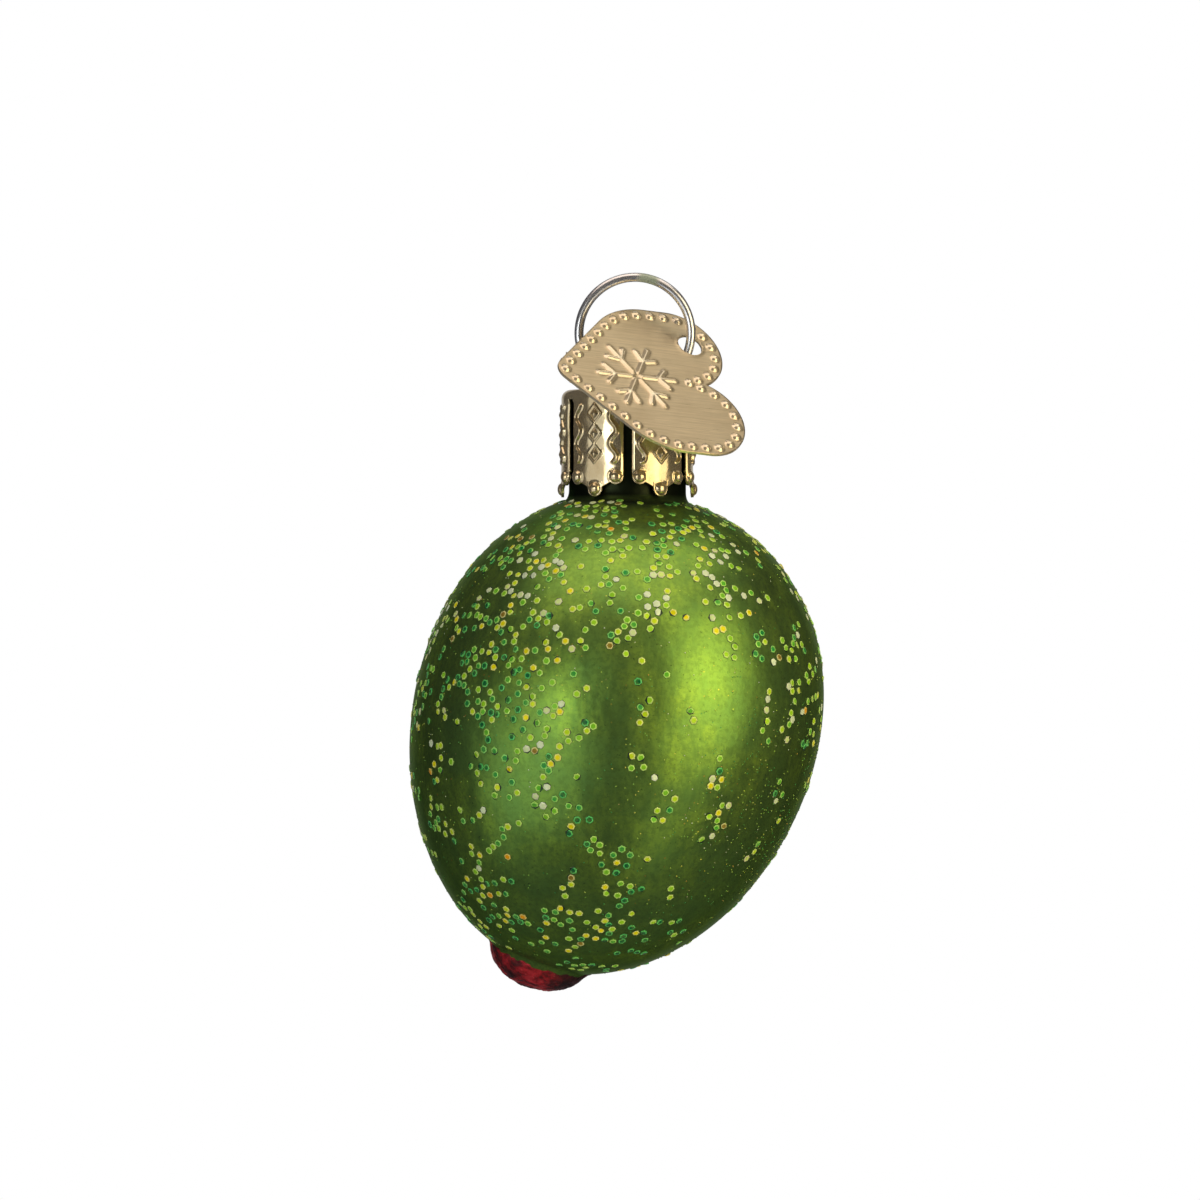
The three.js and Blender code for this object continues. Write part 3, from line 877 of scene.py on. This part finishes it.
def strap_relief(arc, depth):
    """How far the stamping stands out of a strap, at an arc length from its middle and a depth."""
    relief = np.zeros_like(arc)
    for centre, level in SCALLOPS:
        away = np.hypot(arc - centre, depth - level)
        relief = np.maximum(relief, dome(away, BEAD_RADIUS, BEAD_HEIGHT))
        relief = relief + BEAD_RING_HEIGHT * ridge(away - BEAD_RING_RADIUS, 0.05)
    wave_length = WAVE_BOTTOM - WAVE_TOP
    share = (depth - WAVE_TOP) / wave_length
    ends = smooth_step(share, -0.02, 0.03) * (1 - smooth_step(share, 0.97, 1.02))
    phase = share * WAVE_COUNT * 2 * np.pi
    slope = WAVE_SWING * WAVE_COUNT * 2 * np.pi / wave_length * np.sin(phase)
    for direction in (-1, 1):
        line = direction * WAVE_OFFSET + WAVE_SWING * np.cos(phase)
        away = (arc - line) / np.sqrt(1 + slope ** 2)
        relief = relief + ends * WAVE_HEIGHT * ridge(away, WAVE_WIDTH)
    for i in range(LOZENGE_COUNT):
        level = WAVE_TOP + wave_length / LOZENGE_COUNT * (i + 0.5)
        edge = np.abs(arc) / (LOZENGE_WIDTH / 2) + np.abs(depth - level) / (LOZENGE_LENGTH / 2)
        relief = relief + LOZENGE_HEIGHT * np.clip(1 - edge / 0.72, 0, None) ** 0.7
        relief = relief + PRESSED_DEPTH * ridge(edge - 1.05, 0.13)
    return relief - PRESSED_DEPTH * ridge(STRAP_HALF - np.abs(arc), 0.16)


def cap(gold):
    """One sheet, folded at the top, slotted into straps and stamped, then given its thickness."""
    per_strap = STRAP_CELLS + SLOT_CELLS
    columns = per_strap * STRAP_COUNT
    arcs = np.concatenate([
        np.linspace(-STRAP_HALF, STRAP_HALF, STRAP_CELLS + 1),
        np.linspace(STRAP_HALF, STRAP_HALF + STRAP_SLOT, SLOT_CELLS + 1)[1:-1],
    ])
    angles = np.concatenate([
        (strap + 0.5) * STRAP_PITCH + arcs / CAP_RADIUS for strap in range(STRAP_COUNT)])
    arc = np.tile(arcs, STRAP_COUNT)
    outward = np.stack([np.sin(angles), -np.cos(angles), np.zeros(columns)], axis=-1)

    def row(radius, depth):
        return CAP_MIDDLE + outward * np.asarray(radius).reshape(-1, 1) - np.outer(
            np.broadcast_to(depth, columns), [0, 0, 1])

    rows = []
    for angle in np.linspace(np.pi / 2, 0, FOLD_ROWS):
        inwards = FOLD_RADIUS * (1 - math.cos(angle))
        rows.append(row(CAP_RADIUS - inwards, FOLD_RADIUS * (1 - math.sin(angle))))
    rows.append(row(CAP_RADIUS, SLOT_DEPTH))
    collar_faces = (len(rows) - 1) * columns
    on_strap = np.abs(arc) <= STRAP_HALF + 1e-6
    end = np.where(on_strap, strap_end(np.where(on_strap, arc, 0)), SLOT_DEPTH + 1)
    for share in np.linspace(0, 1, STRAP_ROWS + 1)[1:]:
        depth = SLOT_DEPTH + share * (end - SLOT_DEPTH)
        relief = strap_relief(arc, depth) * smooth_step(depth, SLOT_DEPTH, SLOT_DEPTH + 0.5)
        rows.append(row(CAP_RADIUS + relief, depth))
    points = np.concatenate(rows)
    wobble = CAP_WOBBLE * noise_at(points, 0.55) * smooth_step(CAP_TOP - points[:, 2], 0.2, 2.0)
    points = points + np.tile(outward, (len(rows), 1)) * wobble[:, None]
    faces = [face for i, face in enumerate(ring_faces(len(rows), columns))
             if i < collar_faces or i % per_strap < STRAP_CELLS]
    used, faces = np.unique(faces, return_inverse=True)
    faces = faces.reshape(-1, 4).tolist()
    points = points[used]

    loops = [points[:columns]]
    for direction in (-1, 1):
        hole = np.column_stack([WIRE_HOLE_RADIUS * circle(HOLE_SIDES), np.zeros(HOLE_SIDES)])
        loops.append(CAP_MIDDLE + hole + [direction * LEG_OFFSET, 0, 0])
    lid = [*range(columns), *range(len(points), len(points) + 2 * HOLE_SIDES)]
    points = np.concatenate([points, *loops[1:]])
    for triangle in tessellate_polygon([[Vector(point) for point in loop] for loop in loops]):
        a, b, c = (points[lid[v]] for v in triangle)
        order = triangle if np.cross(b - a, c - a)[2] > 0 else triangle[::-1]
        faces.append([lid[v] for v in order])
    piece = make_piece("gold_cap", points, faces, [gold])
    thicken(piece, CAP_SHEET)
    return piece


# Hanger


def catmull_rom(controls, steps):
    """Points on a centripetal Catmull-Rom curve through the controls."""
    controls = [np.array(c, float) for c in controls]
    ends = [2 * controls[0] - controls[1]] + controls + [2 * controls[-1] - controls[-2]]
    made = []
    for a, b, c, d in zip(ends, ends[1:], ends[2:], ends[3:]):
        t0 = 0
        t1 = t0 + np.linalg.norm(b - a) ** 0.5
        t2 = t1 + np.linalg.norm(c - b) ** 0.5
        t3 = t2 + np.linalg.norm(d - c) ** 0.5
        for t in np.linspace(t1, t2, steps, endpoint=False):
            ab = (t1 - t) / (t1 - t0) * a + (t - t0) / (t1 - t0) * b
            bc = (t2 - t) / (t2 - t1) * b + (t - t1) / (t2 - t1) * c
            cd = (t3 - t) / (t3 - t2) * c + (t - t2) / (t3 - t2) * d
            abc = (t2 - t) / (t2 - t0) * ab + (t - t0) / (t2 - t0) * bc
            bcd = (t3 - t) / (t3 - t1) * bc + (t - t1) / (t3 - t1) * cd
            made.append((t2 - t) / (t2 - t1) * abc + (t - t1) / (t2 - t1) * bcd)
    made.append(controls[-1])
    return np.array(made)


def hanger(chrome):
    """The ring and its two splayed legs as one bent wire with rounded ends."""
    leg = (
        (LEG_SPLAY - LEG_TURN_IN, -LEG_LENGTH),
        (LEG_SPLAY, -LEG_SPLAY_END),
        (LEG_OFFSET, -LEG_STRAIGHT_END),
        (LEG_OFFSET, -LEG_STRAIGHT_START),
        (LEG_OFFSET, WAIST_HEIGHT),
    )
    bends = [(-x, 0, z) for x, z in leg]
    lean = math.atan2(RING_SHIFT, RING_CENTRE_HEIGHT)
    for angle in lean + np.linspace(-RING_SWEEP, RING_SWEEP, RING_BENDS):
        bends.append((RING_SHIFT + RING_RADIUS * math.sin(angle), 0,
                      RING_CENTRE_HEIGHT + RING_RADIUS * math.cos(angle)))
    bends += [(x, 0, z) for x, z in reversed(leg)]
    path = catmull_rom(bends, WIRE_STEPS) + CAP_MIDDLE
    tangents = unit(np.gradient(path, axis=0))

    shares = np.array([0.15, 0.45, 0.75])
    end_radii = WIRE_RADIUS * np.sqrt(1 - (1 - shares) ** 2)
    beyond = np.outer(WIRE_RADIUS * 0.6 * (1 - shares), [1, 1, 1])
    centres = np.concatenate([
        path[0] - beyond * tangents[0], path, path[-1] + beyond[::-1] * tangents[-1]])
    radii = np.concatenate([end_radii, np.full(len(path), WIRE_RADIUS), end_radii[::-1]])
    tangents = np.pad(tangents, ((len(shares), len(shares)), (0, 0)), "edge")
    across = np.array([0, 1, 0])
    around = circle(WIRE_SIDES)
    rows = [centre + radius * around @ [across, np.cross(across, tangent)]
            for centre, radius, tangent in zip(centres, radii, tangents)]
    tips = [centres[0] - tangents[0] * 0.05, centres[-1] + tangents[-1] * 0.05]
    points = np.concatenate(rows + [tips])
    faces = ring_faces(len(rows), WIRE_SIDES, len(points) - 2, len(points) - 1)
    return make_piece("hanger_wire", points, [face[::-1] for face in faces], [chrome])


# Tag


FLANK_X = LOBE_OFFSET + LOBE_RADIUS - FLANK_RADIUS
FLANK_END_X = FLANK_X + FLANK_RADIUS * math.cos(FLANK_SWEEP)
FLANK_END_Y = FLANK_HEIGHT - FLANK_RADIUS * math.sin(FLANK_SWEEP)
TIP_Y = FLANK_END_Y + (TIP_RADIUS - math.cos(FLANK_SWEEP) * FLANK_END_X) / math.sin(FLANK_SWEEP)
CLEFT_Y = LOBE_HEIGHT + math.sqrt(LOBE_RADIUS ** 2 - LOBE_OFFSET ** 2)


def heart_line(inset, cleft_y, half_count):
    """Evenly spaced points round the heart, from the cleft by the tip back to the cleft."""
    start = math.pi - math.atan2(cleft_y - LOBE_HEIGHT, LOBE_OFFSET)
    arcs = (
        (LOBE_OFFSET, LOBE_HEIGHT, LOBE_RADIUS - inset, start, 0),
        (FLANK_X, FLANK_HEIGHT, FLANK_RADIUS - inset, 0, -FLANK_SWEEP),
        (0, TIP_Y, max(TIP_RADIUS - inset, 0.1), -FLANK_SWEEP, -math.pi / 2),
    )
    fine = [(0.0, cleft_y)]
    for x, y, radius, begin, end in arcs:
        for angle in np.linspace(begin, end, 160):
            fine.append((x + radius * math.cos(angle), y + radius * math.sin(angle)))
    fine = np.array(fine)
    lengths = np.concatenate([[0], np.cumsum(np.linalg.norm(np.diff(fine, axis=0), axis=1))])
    marks = np.linspace(0, lengths[-1], half_count + 1)
    half = np.stack([np.interp(marks, lengths, line) for line in fine.T], axis=-1)
    return np.concatenate([half, (half[1:-1] * [-1, 1])[::-1]])


def inside(points, outline):
    """Which points lie inside a closed outline."""
    x, y = points.T
    found = np.zeros(len(points), bool)
    for (x0, y0), (x1, y1) in zip(outline, np.roll(outline, -1, axis=0)):
        with np.errstate(divide="ignore", invalid="ignore"):
            found ^= ((y0 > y) != (y1 > y)) & (x < (x1 - x0) * (y - y0) / (y1 - y0) + x0)
    return found


def distance_to_stroke(points, start, end):
    along = end - start
    share = np.clip(((points - start) @ along) / (along @ along), 0, 1)
    return np.linalg.norm(points - start - share[:, None] * along, axis=1)


def snowflake_strokes():
    """A plain six-armed snowflake, stamped in the middle of the tag."""
    strokes = []
    for arm in range(6):
        angle = math.pi / 2 + arm * math.pi / 3
        along = np.array([math.cos(angle), math.sin(angle)])
        strokes.append((SNOWFLAKE_CENTRE + ARM_START * along, SNOWFLAKE_CENTRE + ARM_END * along))
        fork = SNOWFLAKE_CENTRE + ARM_FORK * along
        for branch in (angle - BRANCH_TURN, angle + BRANCH_TURN):
            tip = np.array([math.cos(branch), math.sin(branch)])
            strokes.append((fork, fork + BRANCH_LENGTH * tip))
    return strokes


def tag_relief(points, beads):
    relief = np.zeros(len(points))
    for bead in beads:
        away = np.linalg.norm(points - bead, axis=1)
        relief = np.maximum(relief, dome(away, TAG_BEAD_RADIUS, TAG_BEAD_HEIGHT))
    for start, end in snowflake_strokes():
        away = distance_to_stroke(points, start, end)
        relief = np.maximum(relief, STROKE_HEIGHT * ridge(away, STROKE_WIDTH))
    return relief + 0.05 * ridge(np.linalg.norm(points - TAG_HOLE, axis=1) - TAG_HOLE_RADIUS, 0.2)


def tag_placement():
    """The place of the tag's hole and its axes: it hangs on the ring and leans on the cap."""
    hole = np.array([
        RING_SHIFT + RING_RADIUS * math.cos(TAG_RING_ANGLE), 0,
        RING_CENTRE_HEIGHT + RING_RADIUS * math.sin(TAG_RING_ANGLE)])
    heading = np.array([math.sin(TAG_HEADING), -math.cos(TAG_HEADING), 0])
    level = np.array([math.cos(TAG_HEADING), math.sin(TAG_HEADING), 0])
    reach = CAP_RADIUS + 0.02 - FOLD_RADIUS - hole @ heading
    rise = hole[2] + FOLD_RADIUS
    rest = FOLD_RADIUS + TAG_GAP + TAG_SHEET / 2
    tilt = math.atan2(reach, rise) + math.asin(rest / math.hypot(reach, rise))
    normal = heading * math.cos(tilt) + np.array([0, 0, math.sin(tilt)])
    across = -np.cross(normal, level)
    turned_across = across * math.cos(TAG_TURN) - level * math.sin(TAG_TURN)
    turned_level = across * math.sin(TAG_TURN) + level * math.cos(TAG_TURN)
    return hole + CAP_MIDDLE, np.stack([turned_across, turned_level, normal], axis=-1)


def heart_tag(highlight_gold_edge, place, basis, brushed):
    """The stamped plate: a fine net of triangles inside the outline, raised by the stamping."""
    outline = heart_line(0, CLEFT_Y, TAG_HALF_OUTLINE)
    hole = TAG_HOLE + TAG_HOLE_RADIUS * circle(TAG_HOLE_SIDES)
    beads = heart_line(TAG_BEAD_INSET, CLEFT_Y - CLEFT_BEAD_INSET, TAG_BEAD_COUNT // 2)
    low = outline.min(axis=0)
    high = outline.max(axis=0)
    grid = np.array([
        (x, y) for j, y in enumerate(np.arange(low[1], high[1], TAG_NET_PITCH * math.sqrt(3) / 2))
        for x in np.arange(low[0] + (j % 2) * TAG_NET_PITCH / 2, high[0], TAG_NET_PITCH)])
    grid = grid[inside(grid, outline)]
    for point in outline:
        grid = grid[np.linalg.norm(grid - point, axis=1) > OUTLINE_MARGIN]
    grid = grid[np.linalg.norm(grid - TAG_HOLE, axis=1) > TAG_HOLE_RADIUS + HOLE_MARGIN]
    edges = []
    for start, count in ((0, len(outline)), (len(outline), len(hole))):
        edges += [(start + i, start + (i + 1) % count) for i in range(count)]
    flat = [Vector(point) for point in np.concatenate([outline, hole, grid])]
    net = delaunay_2d_cdt(flat, edges, [], 0, 1e-6)
    flat = np.array([(v.x, v.y) for v in net[0]])
    triangles = np.array(net[2])
    middles = flat[triangles].mean(axis=1)
    solid = np.linalg.norm(middles - TAG_HOLE, axis=1) >= TAG_HOLE_RADIUS - 0.01
    triangles = triangles[solid & inside(middles, outline)]
    relief = tag_relief(flat, beads)
    local = np.column_stack([flat - TAG_HOLE, relief + TAG_SHEET / 2])
    # Stamped faces take the lighter gold, which is painted highlight.
    stamped = relief[triangles].max(axis=1) > STAMPED_HEIGHT
    piece = make_piece(
        "heart_plate", place + local @ basis.T, triangles.tolist(), [brushed, highlight_gold_edge], stamped)
    thicken(piece, TAG_SHEET, rim_material=1)
    for polygon in piece.data.polygons:
        if polygon.material_index == 1 and abs(np.dot(polygon.normal, basis[:, 2])) < 0.1:
            polygon.use_smooth = False
    return piece


# Studio


def soft_box(name, azimuth, elevation, distance, width, height, radiance, tint):
    """A rectangular lamp aimed at the olive. Azimuth 0 is at the camera, and 90 at its right.

    Its distance, width and height are in metres.
    """
    turn = math.radians(azimuth)
    rise = math.radians(elevation)
    direction = Vector((
        math.sin(turn) * math.cos(rise), -math.cos(turn) * math.cos(rise), math.sin(rise)))
    data = bpy.data.lights.new(name, "AREA")
    data.shape = "RECTANGLE"
    data.size = width
    data.size_y = height
    data.energy = radiance * math.pi * width * height
    data.color = tint
    lamp = bpy.data.objects.new(name, data)
    lamp.location = Vector(OLIVE_CENTRE) * MM + direction * distance
    lamp.rotation_euler = direction.to_track_quat("Z", "Y").to_euler()
    bpy.context.scene.collection.objects.link(lamp)


def studio_world():
    """A dim grey room. The camera sees white, and metal sees white behind the ornament."""
    world = bpy.data.worlds.new("studio")
    bpy.context.scene.world = world
    world.use_nodes = True
    tree = world.node_tree
    room = tree.nodes["Background"]
    room.inputs["Color"].default_value = (0.48, 0.5, 0.6, 1)
    white = add_node(tree, "ShaderNodeBackground", Color=(1, 1, 1, 1), Strength=1.0)
    rays = tree.nodes.new("ShaderNodeLightPath").outputs
    direction = tree.nodes.new("ShaderNodeTexCoord").outputs["Generated"]
    below = remap(tree, along_axis(tree, direction, "Z"), -0.8, -0.2, 0.2, 0.08)
    tree.links.new(below, room.inputs["Strength"])
    edges = math.cos(math.radians(34)), math.cos(math.radians(20))
    behind = remap(tree, along_axis(tree, direction, "Y"), *edges, 0, 0.42)
    mirrored = maths(tree, "MAXIMUM", rays["Is Glossy Ray"], rays["Is Transmission Ray"])
    share = maths(tree, "MAXIMUM", rays["Is Camera Ray"], product(tree, mirrored, behind))
    mixed_shaders(tree, share, room, white, tree.nodes["World Output"])


def pale_floor():
    """A pale disc under the ornament that keeps its shadow and fades to white at its rim."""
    rows = [FLOOR_RADIUS * i / FLOOR_ROWS * circle(FLOOR_COLUMNS) for i in range(1, FLOOR_ROWS + 1)]
    flat = np.concatenate(rows + [[(0, 0)]])
    points = np.column_stack([flat, np.full(len(flat), FLOOR_HEIGHT)])
    faces = ring_faces(FLOOR_ROWS, FLOOR_COLUMNS, len(points) - 1)
    material, tree, surface = new_material("pale_floor")
    dress(tree, surface, (0.86, 0.86, 0.86, 1), 0.9)
    away = distance_from(tree, object_coordinates(tree))
    rim = remap(tree, away, 200 * MM, FLOOR_RADIUS * MM, 0.4, 1)
    rays = tree.nodes.new("ShaderNodeLightPath").outputs
    white = add_node(tree, "ShaderNodeEmission", Color=(1, 1, 1, 1), Strength=1.0)
    share = product(tree, rim, rays["Is Camera Ray"])
    mixed_shaders(tree, share, surface, white, tree.nodes["Material Output"])
    floor = make_piece("floor", points, faces, [material])
    floor.visible_glossy = False


def camera():
    data = bpy.data.cameras.new("camera")
    data.sensor_width = SENSOR_WIDTH
    data.sensor_fit = "HORIZONTAL"
    data.lens = SENSOR_WIDTH * CAMERA_DISTANCE / FRAME_WIDTH
    data.clip_start = 0.01
    data.clip_end = 20
    made = bpy.data.objects.new("camera", data)
    made.location = (FRAME_CENTRE_X * MM, -CAMERA_DISTANCE * MM, FRAME_CENTRE_Z * MM)
    made.rotation_euler = (math.pi / 2, 0, 0)
    bpy.context.scene.collection.objects.link(made)
    bpy.context.scene.camera = made


bpy.context.scene.view_settings.view_transform = "Standard"
camera()
studio_world()
pale_floor()
soft_box("right_box", 51.5, 11.2, 0.5, 0.38, 0.54, 1.42, (1.17, 1, 0.68))
soft_box("right_core_box", 48.5, 9, 0.49, 0.12, 0.2, 1.8, (1.3, 0.9, 0.1))
soft_box("right_low_box", 42.6, -16.6, 0.52, 0.26, 0.92, 0.4, (1.04, 1, 0.9))
soft_box("left_box", -32, 6, 0.5, 0.14, 0.14, 2.8, (1, 1, 0.95))
soft_box("left_low_box", -46, -12.5, 0.52, 0.54, 0.47, 0.7, (0.96, 1, 1.05))
soft_box("top_box", -8.4, 74.3, 0.5, 0.71, 0.44, 1.08, (1.22, 1, 0.85))
soft_box("back_box", 114, 63, 0.5, 0.24, 0.2, 0.75, (1.05, 1, 0.9))
soft_box("high_back_box", 190, 52, 0.5, 0.28, 0.15, 0.75, (1, 1, 1))

glass = glass_olive(green_lacquer(), silvered_glass())
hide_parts("glass_olive")
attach(glass, "glass")

coat = pimiento(pimiento_grit())
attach(coat, "glass")

dice = random.Random(7)
flake_looks = [
    flake_look("glitter_faces", FLAKE_FACES, 0.32),
    # The edge look is lighter than the face look: painted highlight on the flakes' edges.
    flake_look("glitter_edge_highlights", FLAKE_EDGE_HIGHLIGHTS, 0.3),
    # The third look is painted shadow for the rings round the flakes.
    painted_flake_shadow(),
]
flakes = flake_piece(
    "glitter_flakes", spread_flakes(dice, glitter_density, count=1800, spacing=0.62, chain=8),
    dice, flake_looks, half_width=0.35, thickness=0.07, tilt=0.14, sides=6)
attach(flakes, "glass")
dust = flake_piece(
    "glitter_dust", spread_flakes(dice, dust_density, count=2400, spacing=0.25, chain=2),
    dice, flake_looks, half_width=0.06, thickness=0.035, tilt=0.3, sides=5)
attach(dust, "glass")

stamped_gold = pale_gold("stamped_gold", (0.76, 0.57, 0.30), (1.0, 0.84, 0.52), (0.1, 0.2), 0.8)
gold_cap = cap(stamped_gold)
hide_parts("cap")
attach(gold_cap, "cap")

wire = hanger(bright_wire())
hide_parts("wire_hanger")
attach(wire, "hanger")

tag_place, tag_basis = tag_placement()
tag_turn = Matrix(tag_basis.tolist()).to_quaternion()
# A smoother, lighter copy of the tag's gold for the beads, the snowflake and the cut edge: the
# smoother finish is real, and the lighter colour is painted highlight.
highlight_gold = pale_gold("stamping_gold_highlight", (0.84, 0.70, 0.46), (1.0, 0.89, 0.66), (0.12, 0.2), 0.65)
plate = heart_tag(highlight_gold, tag_place, tag_basis, brushed_gold(tag_turn))
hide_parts("heart_tag")
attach(plate, "tag")
